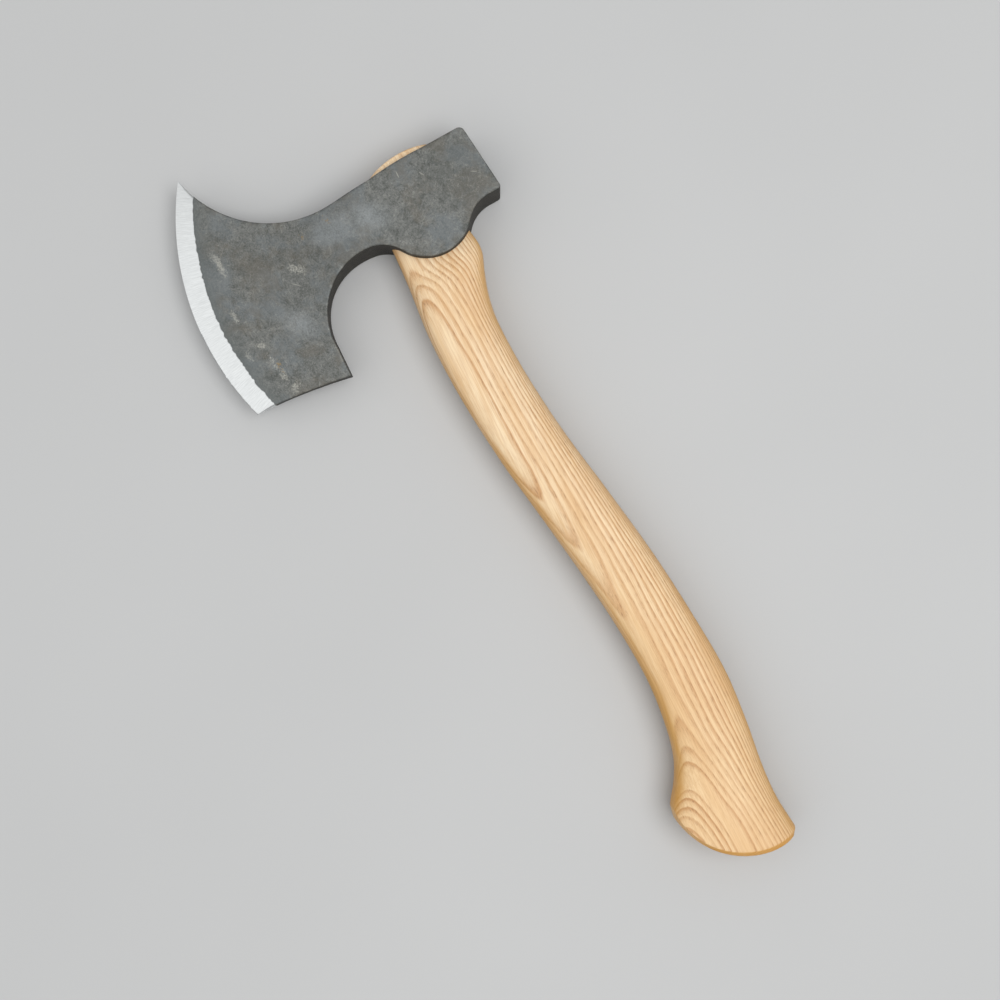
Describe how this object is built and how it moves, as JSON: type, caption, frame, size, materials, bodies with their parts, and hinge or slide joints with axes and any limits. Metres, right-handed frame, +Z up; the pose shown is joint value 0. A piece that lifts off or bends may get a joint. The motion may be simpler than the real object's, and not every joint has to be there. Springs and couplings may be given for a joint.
{
  "type": "carving hatchet",
  "caption": "Bearded carving hatchet lying on its side: forged head with a long curved ground edge, wedged onto an S-curved ash handle.",
  "frame": {"origin": "on the lower cheek of the head, under the middle of the eye, in the plane the hatchet lies on", "axes": "+X up the handle towards the top of the head, +Y towards the cutting edge, +Z up through the cheeks"},
  "size_m": [0.4198, 0.1623, 0.029],
  "materials": {
    "forged_steel": "dark forge scale, with a bright ground bevel along the cutting edge",
    "ash": "oiled ash, straight grain along the handle",
    "wedge_wood": "oiled, darker than the handle",
    "wedge_steel": "plain dull steel"
  },
  "bodies": {
    "root": {"head": "forged_steel", "handle": "ash", "wooden_wedge": "wedge_wood", "steel_wedge": "wedge_steel"}
  },
  "joints": []
}
